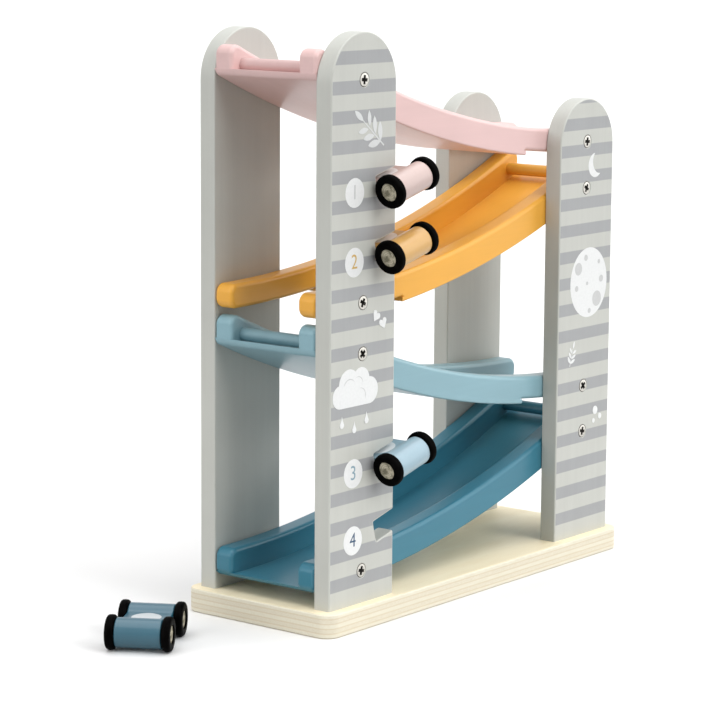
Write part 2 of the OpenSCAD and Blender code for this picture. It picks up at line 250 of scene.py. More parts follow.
# Plywood's lighter and darker colour on the face, in long plies and in cross plies
FACE_PLY = (0.95, 0.85, 0.62), (0.90, 0.78, 0.54)
LONG_PLY = (0.775, 0.73, 0.60), (0.735, 0.68, 0.54)
CROSS_PLY = (0.745, 0.69, 0.56), (0.69, 0.625, 0.485)
FACE_FLECK = (0.80, 0.66, 0.43)
GLUE_LINE = (0.60, 0.48, 0.29)


def painted_wood_group():
    """Sprayed paint over sanded wood: faint fibres along Z, orange peel and slow mottling."""
    tree, inp, out = new_group(
        "painted_wood",
        [("Vector", "Vector", None), ("Grain", "Float", 1.0)],
        [("Shade", "Float"), ("Roughness", "Float"), ("Height", "Float")],
    )
    vector = inp.outputs["Vector"]
    fibres = noise(tree, stretched(tree, vector, FIBRES), 1.0, 3.0, 0.55)
    bands = noise(tree, stretched(tree, vector, FIBRE_BANDS), 1.0, 2.0)
    peel = noise(tree, vector, ORANGE_PEEL, 1.0)
    mottle = noise(tree, vector, PAINT_MOTTLE, 2.0)
    slow = number(tree, "MULTIPLY_ADD", mottle, 0.10, 0.95)
    shade = number(tree, "MULTIPLY_ADD", number(tree, "SUBTRACT", bands, 0.5), 0.08, slow)
    fine = number(tree, "MULTIPLY_ADD", number(tree, "SUBTRACT", fibres, 0.5), 0.06, shade)
    tree.links.new(fine, out.inputs["Shade"])
    uneven = number(tree, "MULTIPLY", number(tree, "SUBTRACT", mottle, 0.5), 0.15)
    tree.links.new(uneven, out.inputs["Roughness"])
    fibre_height = number(tree, "MULTIPLY", fibres, inp.outputs["Grain"])
    tree.links.new(number(tree, "MULTIPLY_ADD", peel, 0.35, fibre_height), out.inputs["Height"])
    return tree


def stripes_group():
    """Level printed stripes: a mask from height, the first stripe, a pitch, a width and a count."""
    tree, inp, out = new_group(
        "printed_stripes",
        [
            ("Vector", "Vector", None),
            ("First", "Float", 0.024),
            ("Pitch", "Float", 0.01411),
            ("Width", "Float", 0.0064),
            ("Count", "Float", 18.0),
        ],
        [("Mask", "Float")],
    )
    height = put(tree, "ShaderNodeSeparateXYZ", {"Vector": inp.outputs["Vector"]}).outputs["Z"]
    above = number(tree, "SUBTRACT", height, inp.outputs["First"])
    count = number(tree, "DIVIDE", above, inp.outputs["Pitch"])
    past_whole = number(tree, "SUBTRACT", count, number(tree, "ROUND", count))
    off = number(tree, "MULTIPLY", number(tree, "ABSOLUTE", past_whole), inp.outputs["Pitch"])
    edge = number(tree, "SUBTRACT", number(tree, "MULTIPLY", inp.outputs["Width"], 0.5), off)
    mask = ramp(tree, edge, -STRIPE_FADE, STRIPE_FADE)
    last = number(tree, "ADD", inp.outputs["Count"], 0.5)
    past_first = number(tree, "GREATER_THAN", count, -0.5)
    before_last = number(tree, "LESS_THAN", count, last)
    inside = number(tree, "MULTIPLY", past_first, before_last)
    tree.links.new(number(tree, "MULTIPLY", mask, inside), out.inputs["Mask"])
    return tree


def ply_group():
    """Pale plywood: long faint figure on the faces, plies with darker glue lines on the edges."""
    tree, inp, out = new_group(
        "pale_ply",
        [
            ("Vector", "Vector", None),
            ("Facing", "Float", 0.0),
            ("Thickness", "Float", 0.012),
            ("Plies", "Float", 5.0),
        ],
        [("Color", "Color"), ("Height", "Float")],
    )
    vector = inp.outputs["Vector"]
    height = put(tree, "ShaderNodeSeparateXYZ", {"Vector": vector}).outputs["Z"]
    figure = noise(tree, stretched(tree, vector, PLY_FIGURE), 1.0, 4.0, 0.6)
    fleck = noise(tree, stretched(tree, vector, PLY_FLECKS), 1.0, 2.0)
    face = blend_colour(tree, ramp(tree, figure, 0.3, 0.7), *FACE_PLY)
    face = blend_colour(tree, ramp(tree, fleck, 0.55, 0.75, 0.0, 0.3), face, FACE_FLECK)
    wander = noise(tree, stretched(tree, vector, PLY_WANDER), 1.0, 2.0)
    share = number(tree, "DIVIDE", height, inp.outputs["Thickness"])
    uneven = number(tree, "ADD", share, ramp(tree, wander, 0.3, 0.7, -PLY_WAVE, PLY_WAVE))
    level = number(tree, "MULTIPLY", uneven, inp.outputs["Plies"])
    cross = number(tree, "PINGPONG", number(tree, "FLOOR", level), 1.0)
    glue = ramp(tree, number(tree, "PINGPONG", level, 0.5), 0.04, 0.20, 1.0, 0.0)
    pores = noise(tree, stretched(tree, vector, PLY_PORES), 1.0, 2.0)
    long_ply = blend_colour(tree, ramp(tree, fleck, 0.3, 0.8), *LONG_PLY)
    cross_ply = blend_colour(tree, ramp(tree, pores, 0.3, 0.7), *CROSS_PLY)
    edge = blend_colour(tree, cross, long_ply, cross_ply)
    edge = blend_colour(tree, number(tree, "MULTIPLY", glue, 0.5), edge, GLUE_LINE)
    tree.links.new(blend_colour(tree, inp.outputs["Facing"], edge, face), out.inputs["Color"])
    grooves = number(tree, "MULTIPLY", glue, -0.5)
    tree.links.new(number(tree, "MULTIPLY_ADD", fleck, 0.4, grooves), out.inputs["Height"])
    return tree


GROUP_MAKERS = {
    "painted_wood": painted_wood_group,
    "printed_stripes": stripes_group,
    "pale_ply": ply_group,
}
GROUPS = {}


def use_group(tree, name, values):
    """The named shader group as a node, built on first use."""
    if name not in GROUPS:
        GROUPS[name] = GROUP_MAKERS[name]()
    return put(tree, "ShaderNodeGroup", values, node_tree=GROUPS[name])


# Finishes

GREY = (0.520, 0.527, 0.490)
GREY_STRIPE = (0.338, 0.345, 0.352)
PAINTS = {
    "pink": (0.730, 0.505, 0.490),
    "yellow": (0.800, 0.395, 0.050),
    "light_blue": (0.235, 0.400, 0.460),
    "blue": (0.036, 0.178, 0.252),
}
CAR_PAINTS = {
    "pink": (0.540, 0.405, 0.375),
    "yellow": (0.610, 0.345, 0.095),
    "light_blue": (0.285, 0.415, 0.490),
    "blue": (0.017, 0.092, 0.136),
}
# The stop bars' paint is their ramp's, made darker by this factor: painted shade for the shadow the
# bars lie in
BAR_SHADE_SHARE = 0.8
PAINT_ROUGHNESS = 0.36
CAR_ROUGHNESS = 0.34
# Radii, in metres, between which a car's printed disc ends; and how much white there is in it,
# and how much of the car's own colour
DISC_EDGE = (0.0071, 0.0073)
DISC_WHITE = 0.56
DISC_OWN = 0.36
# Bare wood's lighter and darker colour, and the colour of its soiled parts
TURNED_WOOD = (0.58, 0.53, 0.42), (0.40, 0.36, 0.26)
SOILED_WOOD = (0.105, 0.095, 0.055)
RUBBER = (0.0008, 0.0007, 0.0007), (0.0028, 0.0025, 0.0025)
# Colour and roughness of the screws, of the painted shade on their cross's walls and outer rim, and
# of the axles
ZINC = (0.57, 0.555, 0.51), 0.40
SHADED_ZINC = (0.090, 0.086, 0.078), 0.50
WIRE = (0.60, 0.59, 0.57), 0.35
# Scuffed steel and thin ink are darker by these factors
SCUFF_SHARE = 0.78
THIN_INK_SHARE = 0.92
# How high the relief of each finish stands, in metres
PAINT_RELIEF = 0.00003
CAR_PAINT_RELIEF = 0.00002
BARE_WOOD_RELIEF = 0.00004
STEEL_RELIEF = 0.00002
INK_RELIEF = 0.00002
RUBBER_RELIEF = 0.00001
# The floor's bounced light near the toy and far from it, and its tone as seen
FLOOR_BOUNCE = (0.58, 0.58, 0.57), (0.20, 0.20, 0.20)
FLOOR_SEEN = (0.84, 0.84, 0.84)
GRAIN_UP = (0, 0, 0)
GRAIN_LONG = (0, math.pi / 2, 0)


def painted_finish(name, colour, grain_turn, stripes=None):
    """Satin paint on wood; stripes is the darker print's colour, or None."""
    gloss = {"Coat_Weight": 0.15, "Coat_Roughness": 0.25, "Specular_IOR_Level": 0.3}
    made, tree, bsdf = new_finish(name, **gloss)
    place = object_place(tree, turn=grain_turn)
    paint = use_group(tree, "painted_wood", {"Vector": place, "Grain": 1.0})
    base = colour
    if stripes:
        upright = tree.nodes.new("ShaderNodeTexCoord").outputs["Object"]
        mask = use_group(tree, "printed_stripes", {"Vector": upright}).outputs["Mask"]
        base = blend_colour(tree, mask, colour, stripes)
    tree.links.new(shaded(tree, base, paint.outputs["Shade"]), bsdf.inputs["Base Color"])
    uneven = number(tree, "ADD", paint.outputs["Roughness"], PAINT_ROUGHNESS)
    tree.links.new(uneven, bsdf.inputs["Roughness"])
    add_bump(tree, bsdf, paint.outputs["Height"], PAINT_RELIEF)
    return made


def studio_floor_finish():
    """White floor that throws light back up close to the toy, as a white table in a dim room does."""
    made, tree, bsdf = new_finish("studio_white", 0.6)
    away = reach_of(tree, object_place(tree))
    bounced = blend_colour(tree, ramp(tree, away, 0.2, 0.8), *FLOOR_BOUNCE)
    tone = blend_colour(tree, seen_bright(tree), bounced, FLOOR_SEEN)
    tree.links.new(tone, bsdf.inputs["Base Color"])
    return made


def ply_finish():
    """Clear lacquered plywood, its edges showing the plies."""
    made, tree, bsdf = new_finish("pale_plywood", 0.5, Coat_Weight=0.1, Coat_Roughness=0.35)
    normal = tree.nodes.new("ShaderNodeNewGeometry").outputs["Normal"]
    upward = put(tree, "ShaderNodeSeparateXYZ", {"Vector": normal}).outputs["Z"]
    facing = ramp(tree, number(tree, "ABSOLUTE", upward), 0.80, 0.95)
    ply = use_group(tree, "pale_ply", {"Vector": object_place(tree), "Facing": facing})
    tree.links.new(ply.outputs["Color"], bsdf.inputs["Base Color"])
    add_bump(tree, bsdf, ply.outputs["Height"], BARE_WOOD_RELIEF)
    return made


def turned_wood_finish(name, place, axis_turn):
    """Bare turned wood with end-grain rings round the axle, slightly soiled."""
    made, tree, bsdf = new_finish(name, 0.62, Specular_IOR_Level=0.35)
    vector = object_place(tree, place, axis_turn)
    spread = noise(tree, vector, 420.0, 3.0)
    values = {"Vector": vector, "Scale": 330.0, "Distortion": 3.0, "Detail": 2.0, "Detail Scale": 1.5}
    wave = put(tree, "ShaderNodeTexWave", values, wave_type="RINGS", rings_direction="X")
    rings = wave.outputs["Fac"]
    colour = blend_colour(tree, rings, *TURNED_WOOD)
    colour = blend_colour(tree, ramp(tree, spread, 0.44, 0.60, 0.0, 0.85), colour, SOILED_WOOD)
    tree.links.new(colour, bsdf.inputs["Base Color"])
    add_bump(tree, bsdf, number(tree, "ADD", rings, spread), BARE_WOOD_RELIEF)
    return made


def rubber_finish():
    """Black moulded rubber with a faint matt bloom."""
    made, tree, bsdf = new_finish("black_rubber", IOR=1.06)
    vector = object_place(tree)
    bloom = noise(tree, vector, 260.0, 3.0)
    skin = noise(tree, vector, 2600.0, 2.0)
    colour = blend_colour(tree, ramp(tree, bloom, 0.35, 0.75), *RUBBER)
    tree.links.new(colour, bsdf.inputs["Base Color"])
    tree.links.new(ramp(tree, bloom, 0.3, 0.7, 0.36, 0.5), bsdf.inputs["Roughness"])
    add_bump(tree, bsdf, skin, RUBBER_RELIEF)
    return made


def steel_finish(name, colour, roughness):
    """Steel with fine scuffs."""
    made, tree, bsdf = new_finish(name, Metallic=1.0)
    scuffs = noise(tree, object_place(tree), 900.0, 4.0, 0.6)
    worn = tuple(part * SCUFF_SHARE for part in colour)
    tone = blend_colour(tree, ramp(tree, scuffs, 0.35, 0.7), colour, worn)
    tree.links.new(tone, bsdf.inputs["Base Color"])
    uneven = ramp(tree, scuffs, 0.3, 0.7, roughness - 0.06, roughness + 0.12)
    tree.links.new(uneven, bsdf.inputs["Roughness"])
    add_bump(tree, bsdf, scuffs, STEEL_RELIEF)
    return made


def print_finish(name, colour):
    """Screen-printed ink, a little mottled."""
    made, tree, bsdf = new_finish(name, 0.45, Specular_IOR_Level=0.35)
    patches = noise(tree, object_place(tree), 700.0, 3.0)
    thin = tuple(part * THIN_INK_SHARE for part in colour)
    tone = blend_colour(tree, ramp(tree, patches, 0.4, 0.8, 0.0, 0.7), colour, thin)
    tree.links.new(tone, bsdf.inputs["Base Color"])
    add_bump(tree, bsdf, patches, INK_RELIEF)
    return made


def car_finish(name, colour, middle, turn):
    """Glossier paint than the ramps', with a plain pale disc printed on the top of the waist."""
    gloss = {"Coat_Weight": 0.35, "Coat_Roughness": 0.15, "Specular_IOR_Level": 0.45}
    made, tree, bsdf = new_finish(name, **gloss)
    place = object_place(tree, middle, turn)
    paint = use_group(tree, "painted_wood", {"Vector": place, "Grain": 0.5})
    split = put(tree, "ShaderNodeSeparateXYZ", {"Vector": place})
    flat = put(tree, "ShaderNodeCombineXYZ", {"X": split.outputs["X"], "Y": split.outputs["Y"]})
    inside = ramp(tree, reach_of(tree, flat.outputs[0]), *DISC_EDGE, 1.0, 0.0)
    upper = number(tree, "GREATER_THAN", split.outputs["Z"], 0.0)
    disc = number(tree, "MULTIPLY", inside, upper)
    base = blend_colour(tree, disc, colour, tuple(DISC_WHITE + DISC_OWN * part for part in colour))
    tree.links.new(shaded(tree, base, paint.outputs["Shade"]), bsdf.inputs["Base Color"])
    uneven = number(tree, "ADD", paint.outputs["Roughness"], CAR_ROUGHNESS)
    tree.links.new(uneven, bsdf.inputs["Roughness"])
    add_bump(tree, bsdf, paint.outputs["Height"], CAR_PAINT_RELIEF)
    return made


# Mesh helpers

# Turns between two faces from which an edge counts as sharp for rounding, and for shading; and up
# to which two faces count as one
SHARP_TURN = math.radians(28)
CREASE_TURN = math.radians(38)
FLAT_TURN = math.radians(0.05)
# How far an edge may be from a neighbour and still lie on it, and from a side plane
TOUCH = 0.12 * MM
IN_SIDE = 0.01 * MM
# How far past its neighbour's end a rail is cut across
PAST_END = 0.15 * MM
# Points that are closer than this are made one: in a CAD mesh, and in a turned shape
WELD = 0.000002
TURNED_WELD = 0.000004


def finish_mesh(bm, name, finishes):
    """An object made of a bmesh: smooth faces, sharp corners, and flat faces that stay flat."""
    for face in bm.faces:
        face.smooth = True
    for edge in bm.edges:
        edge.smooth = len(edge.link_faces) != 2 or edge.calc_face_angle(0) < CREASE_TURN
    mesh = bpy.data.meshes.new(name)
    bm.to_mesh(mesh)
    bm.free()
    for finish in finishes:
        mesh.materials.append(finish)
    made = bpy.data.objects.new(name, mesh)
    bpy.context.scene.collection.objects.link(made)
    flat = made.modifiers.new("flat_faces", "WEIGHTED_NORMAL")
    flat.weight = 100
    flat.keep_sharp = True
    return made


def merged_copy(node):
    """A CAD node's surface with its loose triangles joined and its flat faces made whole."""
    bm = bmesh.new()
    bm.from_mesh(NODES[node].data)
    bmesh.ops.remove_doubles(bm, verts=bm.verts, dist=WELD)
    bmesh.ops.dissolve_limit(bm, angle_limit=FLAT_TURN, verts=bm.verts, edges=bm.edges)
    return bm


def islands(node):
    """The middle of each separate solid in a CAD node."""
    bm = bmesh.new()
    bm.from_mesh(NODES[node].data)
    bmesh.ops.remove_doubles(bm, verts=bm.verts, dist=WELD)
    left, found = set(bm.verts), []
    while left:
        reach, group = [left.pop()], []
        while reach:
            vert = reach.pop()
            group.append(vert.co.copy())
            for edge in vert.link_edges:
                other = edge.other_vert(vert)
                if other in left:
                    left.remove(other)
                    reach.append(other)
        low = Vector(min(p[i] for p in group) for i in range(3))
        high = Vector(max(p[i] for p in group) for i in range(3))
        found.append((low + high) / 2)
    bm.free()
    return found


def evaluated_mesh(holder):
    """An object's mesh with its modifiers or its figures worked out."""
    graph = bpy.context.evaluated_depsgraph_get()
    return bpy.data.meshes.new_from_object(holder.evaluated_get(graph))


def surface_of(nodes):
    """A search tree over the faces of some CAD nodes."""
    bm = bmesh.new()
    for node in nodes:
        bm.from_mesh(NODES[node].data)
    tree = BVHTree.FromBMesh(bm)
    bm.free()
    return tree


def is_sharp(edge):
    """Whether two faces meet in the edge with a clear turn."""
    return len(edge.link_faces) == 2 and edge.calc_face_angle(0) > SHARP_TURN


def round_edges(bm, edges, width, segments):
    """Rounds the edges, by a width measured along the faces beside them."""
    bmesh.ops.bevel(
        bm, geom=edges, offset=width, offset_type="OFFSET", segments=segments, profile=0.5,
        affect="EDGES", clamp_overlap=False, material=-1,
    )


def soften(bm, width, neighbours, segments=3, by_ends=False, sides=()):
    """Rounds the sharp edges, apart from those that lie on a neighbour by their middle.

    With by_ends, also those that lie there by an end stay sharp. With sides, only edges in
    the faces at these depths are rounded.
    """
    touching = surface_of(neighbours)

    def near(point):
        """Whether a point lies on a neighbour."""
        return touching.find_nearest(point, TOUCH)[0] is not None

    def free(edge):
        """Whether an edge is one to round."""
        a, b = (vert.co for vert in edge.verts)
        if sides and min(abs(a.y - side) + abs(b.y - side) for side in sides) > IN_SIDE:
            return False
        points = [(a + b) / 2, a, b] if by_ends else [(a + b) / 2]
        return not any(near(point) for point in points)

    round_edges(bm, [e for e in bm.edges if is_sharp(e) and free(e)], width, segments)


def cut_past_ends(bm, neighbour):
    """Cuts a rail across just past where its neighbour ends, so that a rounded edge stops there."""
    for x, out in zip((corner.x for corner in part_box(neighbour)), (-1, 1)):
        parts = bm.verts[:] + bm.edges[:] + bm.faces[:]
        place = (x + out * PAST_END, 0, 0)
        bmesh.ops.bisect_plane(bm, geom=parts, dist=1e-7, plane_co=place, plane_no=(1, 0, 0))


def spin_outline(bm, outline, steps, closed=True):
    """Spins an outline of (radius, along) in mm round Z into a closed shape."""
    verts = [bm.verts.new((r * MM, 0, z * MM)) for r, z in outline]
    ends = verts[1:] + verts[:1] if closed else verts[1:]
    edges = [bm.edges.new(pair) for pair in zip(verts, ends)]
    bmesh.ops.spin(
        bm, geom=verts + edges, cent=(0, 0, 0), axis=(0, 0, 1), angle=2 * math.pi, steps=steps,
        use_merge=True,
    )
    bmesh.ops.remove_doubles(bm, verts=bm.verts, dist=TURNED_WELD)
    bmesh.ops.recalc_face_normals(bm, faces=bm.faces)


def on_ring(vert, radius, along):
    """Whether a point of a turned shape has that radius and height, in mm."""
    gaps = vert.co.xy.length - radius * MM, vert.co.z - along * MM
    return max(abs(gap) for gap in gaps) < WELD


def round_rings(bm, rounds):
    """Rounds the rings of a turned shape that are listed as (radius, along, by) in mm."""
    for radius, along, by in rounds:
        ring = [e for e in bm.edges if all(on_ring(v, radius, along) for v in e.verts)]
        round_edges(bm, ring, by * MM, 4)


def stand_for(piece, node, body):
    """The piece rides on the body and stands for the CAD node, which is hidden."""
    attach(piece, body)
    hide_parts(node)


# Tower

UPRIGHTS = ("front_left", "back_left", "front_right", "back_right")
# How far the edges of each kind of piece are rounded
UPRIGHT_ROUND = 0.8 * MM
RAIL_ROUND = 2.2 * MM
FLOOR_ROUND = 0.9 * MM
BASE_ROUND = 0.9 * MM
# Edges shorter than this are slivers that rounding leaves
SLIVER = 0.05 * MM
# How far a board's face may be from the board's outside and still lie on it
ON_OUTSIDE = 0.02 * MM


def build_uprights():
    """Four grey boards, their outer faces striped."""
    plain = painted_finish("grey_paint", GREY, GRAIN_UP)
    striped = painted_finish("grey_paint_striped", GREY, GRAIN_UP, stripes=GREY_STRIPE)
    for corner in UPRIGHTS:
        node = corner + "_upright"
        bm = merged_copy(node)
        soften(bm, UPRIGHT_ROUND, [corner + "_screws", "base_screws", "base_board"])
        out = -1 if corner.startswith("front") else 1
        face_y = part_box(node)[0 if out < 0 else 1].y
        for face in bm.faces:
            outermost = abs(face.calc_center_median().y - face_y) < ON_OUTSIDE
            if outermost and face.normal.y * out > 0.999:
                face.material_index = 1
        board = finish_mesh(bm, node + "_board", [plain, striped])
        stand_for(board, node, "tower")


def build_ramps():
    """Four painted ramps: two well rounded rails, a floor under them and a stop bar between them."""
    screws = [corner + "_screws" for corner in UPRIGHTS]
    for colour, paint in PAINTS.items():
        slot = colour + "_paint"
        finish = painted_finish(slot, paint, GRAIN_LONG)
        # The stop bars' darker paint is painted shade
        bar_shaded_paint = tuple(BAR_SHADE_SHARE * part for part in paint)
        bar_finish = painted_finish(colour + "_bar_shaded_paint", bar_shaded_paint, GRAIN_LONG)
        parts = ("floor", "front_rail", "back_rail", "stop_bar")
        floor, front, back, bar = (colour + "_ramp_" + part for part in parts)
        for node in (front, back):
            bm = merged_copy(node)
            cut_past_ends(bm, floor)
            sides = [corner.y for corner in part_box(node)]
            soften(bm, RAIL_ROUND, [floor, bar] + screws, segments=5, sides=sides)
            bmesh.ops.dissolve_degenerate(bm, dist=SLIVER, edges=bm.edges)
            stand_for(finish_mesh(bm, node + "_painted", [finish]), node, "tower")
        bm = merged_copy(floor)
        soften(bm, FLOOR_ROUND, [front, back], by_ends=True)
        stand_for(finish_mesh(bm, floor + "_painted", [finish]), floor, "tower")
        bm = merged_copy(bar)
        stand_for(finish_mesh(bm, bar + "_painted", [bar_finish]), bar, "tower")


def build_base():
    """The plywood base, its edges eased."""
    bm = merged_copy("base_board")
    soften(bm, BASE_ROUND, ["base_screws"])
    board = finish_mesh(bm, "base_board_plywood", [ply_finish()])
    stand_for(board, "base_board", "tower")


# Screws

# From the head's middle to the shank, in mm: radius and depth under the board's face
SCREW_HEAD = [(0, 0.05), (3.2, 0.05), (3.78, 0.45), (3.6, 0.6), (1.5, 2.4)]
SHANK_RADIUS = 1.5
TIP_LENGTH = 3
UPRIGHT_SCREW_LENGTH = 18
BASE_SCREW_LENGTH = 30
# One arm of the cross in mm: length, width and twice its depth; and the shares left at its bottom
CROSS_ARM = (6.2, 1.9, 4.4)
CROSS_TAPER = (0.45, 0.7, 1)
# In mm: how deep the cross's walls begin and how far out they reach at the face; and how deep the
# head's outer rim ends and how far in it begins
CROSS_TOP = 0.08
CROSS_REACH = 2.6
RIM_FOOT = 0.55
RIM_REACH = 3.3
# How far each screw of a board was turned, in degrees
SCREW_TURNS = (12, -38, 27, 5, 41, -16, 33, 20)


def screw_shape(length):
    """A countersunk cross-head screw pointing along +Z, its head's face near z = 0.

    The walls of the cross and the head's outer rim take the second, darker finish, which is painted
    shade.
    """
    bm = bmesh.new()
    outline = SCREW_HEAD + [(SHANK_RADIUS, length - TIP_LENGTH), (0, length)]
    spin_outline(bm, outline, 40, closed=False)
    cutter = bmesh.new()
    for turn in (0, 90):
        arm = bmesh.ops.create_cube(cutter, size=1)["verts"]
        bmesh.ops.scale(cutter, vec=Vector(CROSS_ARM) * MM, verts=arm)
        deep = [v for v in arm if v.co.z > 0]
        bmesh.ops.scale(cutter, vec=CROSS_TAPER, verts=deep)
        lay = Matrix.Rotation(math.radians(turn), 3, "Z")
        bmesh.ops.rotate(cutter, cent=(0, 0, 0), matrix=lay, verts=arm)
    body = finish_mesh(bm, "screw_blank", [])
    bore = finish_mesh(cutter, "screw_cross", [])
    cut = body.modifiers.new("cross", "BOOLEAN")
    cut.operation, cut.solver = "DIFFERENCE", "EXACT"
    cut.object, cut.use_self = bore, True
    shape = evaluated_mesh(body)
    for spare in (body, bore):
        bpy.data.objects.remove(spare)
    for face in shape.polygons:
        depth = face.center.z
        reach = face.center.xy.length
        in_cross = depth > CROSS_TOP * MM and reach < CROSS_REACH * MM - depth / 2
        on_rim = depth < RIM_FOOT * MM and reach > RIM_REACH * MM
        face.material_index = int(in_cross or on_rim)
    return shape


def build_screws():
    """The screws of each board and of the base, each in the place of its solid."""
    steel = steel_finish("zinc_plated_steel", *ZINC)
    # The darker steel is painted shade in the cross and round the head's rim
    recess = steel_finish("shaded_steel", *SHADED_ZINC)
    short, long = screw_shape(UPRIGHT_SCREW_LENGTH), screw_shape(BASE_SCREW_LENGTH)
    for node in [corner + "_screws" for corner in UPRIGHTS] + ["base_screws"]:
        low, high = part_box(node)
        bm = bmesh.new()
        places = sorted(islands(node), key=lambda p: (round(p.z, 4), round(p.x, 4), p.y))
        for place, turn in zip(places, SCREW_TURNS):
            if node == "base_screws":
                shape, lay = long, Matrix.Identity(3)
                seat = Vector((place.x, place.y, low.z))
            else:
                side = -1 if node.startswith("front") else 1
                shape, lay = short, Matrix.Rotation(side * math.pi / 2, 3, "X")
                seat = Vector((place.x, low.y if side < 0 else high.y, place.z))
            known = set(bm.verts)
            bm.from_mesh(shape)
            fresh = [v for v in bm.verts if v not in known]
            lay = lay @ Matrix.Rotation(math.radians(turn), 3, "Z")
            bmesh.ops.transform(bm, matrix=Matrix.Translation(seat) @ lay.to_4x4(), verts=fresh)
        screws = finish_mesh(bm, node + "_plated", [steel, recess])
        stand_for(screws, node, "tower")


# Cars

# A tyre's and a hub's outline in mm: radius and distance from the car's middle; and which rings
# are rounded, as radius, distance and by how much
TYRE = [
    (6.0, 11.55), (8.4, 11.55), (8.4, 13.55), (8.5, 13.65), (8.4, 13.75), (8.4, 15.75),
    (4.5, 15.75), (4.5, 14.91), (6.0, 14.91),
]
TYRE_ROUNDS = [(8.4, 11.55, 1.25), (8.4, 15.75, 1.35), (4.5, 15.75, 0.55)]
HUB = [
    (1.5, 11.55), (6.0, 11.55), (6.0, 14.91), (1.3, 14.91), (0.9, 14.72), (0, 14.72),
    (0, 14.07), (1.5, 14.07),
]
HUB_ROUNDS = [(6.0, 11.55, 0.3)]
CAR_ROUND = 0.7 * MM
# How far round an axle a body's edges count as those of its bore
BORE_REACH = 2.5 * MM


def wheel_pair(name, outline, rounds, place, axis, finish):
    """The same turned shape at both ends of an axle, in one mesh."""
    bm = bmesh.new()
    spin_outline(bm, outline, 64)
    round_rings(bm, rounds)
    bmesh.ops.mirror(bm, geom=bm.verts[:] + bm.edges[:] + bm.faces[:], axis="Z", merge_dist=0)
    bmesh.ops.recalc_face_normals(bm, faces=bm.faces)
    lay = axis.to_track_quat("Z", "Y").to_matrix().to_4x4()
    bmesh.ops.transform(bm, matrix=Matrix.Translation(place) @ lay, verts=bm.verts)
    return finish_mesh(bm, name, [finish])


def build_cars():
    """Four cars, each a painted body on two axles with hubs and tyres."""
    rubber = rubber_finish()
    wire = steel_finish("steel_wire", *WIRE)
    joints = {joint["name"]: joint for joint in frame["joints"]}
    for colour, paint in CAR_PAINTS.items():
        car = colour + "_car"
        spins = {end: joints["%s_%s_wheels_spin" % (car, end)] for end in ("front", "rear")}
        places = {end: Vector(joint["pos_m"]) for end, joint in spins.items()}
        across = Vector(spins["front"]["axis"])
        along = (places["rear"] - places["front"]).normalized()
        lay = Matrix((across, along, across.cross(along))).transposed().to_euler()
        middle = (places["front"] + places["rear"]) / 2
        finish = car_finish(car + "_paint", paint, middle, lay)
        bm = merged_copy(car + "_body")
        soften_rim(bm, places.values(), across)
        body = finish_mesh(bm, car + "_body_painted", [finish])
        stand_for(body, car + "_body", car)
        for end, place in places.items():
            name = "%s_%s_" % (car, end)
            wheels = name + "wheels"
            wood = turned_wood_finish(wheels + "_wood", place, lay)
            tyres = wheel_pair(name + "tyres_rubber", TYRE, TYRE_ROUNDS, place, across, rubber)
            stand_for(tyres, name + "tyres", wheels)
            hubs = wheel_pair(name + "hubs_wood", HUB, HUB_ROUNDS, place, across, wood)
            stand_for(hubs, name + "hubs", wheels)
            axle = NODES[name + "axle"]
            axle.data.materials.clear()
            axle.data.materials.append(wire)


def soften_rim(bm, bores, across):
    """Rounds the outline of both sides of a car's body, and leaves its axle bores sharp."""

    def off_bores(edge):
        """Whether an edge is away from both bores."""
        middle = (edge.verts[0].co + edge.verts[1].co) / 2
        gaps = [(middle - place) - across * (middle - place).dot(across) for place in bores]
        return min(gap.length for gap in gaps) > BORE_REACH

    round_edges(bm, [e for e in bm.edges if is_sharp(e) and off_bores(e)], CAR_ROUND, 4)


# Prints on the front boards, drawn in mm with x to the right and z up on the board's front face

WHITE, SOFT_WHITE, PALE_GREY, MUSTARD, BLUE_GREY, DARK_BLUE = range(6)
INKS = {
    "white_ink": (0.78, 0.79, 0.79),
    "soft_white_ink": (0.64, 0.655, 0.655),
    "pale_grey_ink": (0.56, 0.565, 0.565),
    "mustard_ink": (0.60, 0.40, 0.12),
    "blue_grey_ink": (0.24, 0.36, 0.43),
    "dark_blue_ink": (0.035, 0.085, 0.16),
}
# A print's thickness, and how much thicker each later shape is
INK_THICKNESS = 0.03
INK_STEP = 0.008
DISC_SIDES = 40
# How far an arc turns from one point to the next, in degrees
ARC_STEP = 9
# A figure's height as a share of its font's size
FIGURE_SHARE = 0.7


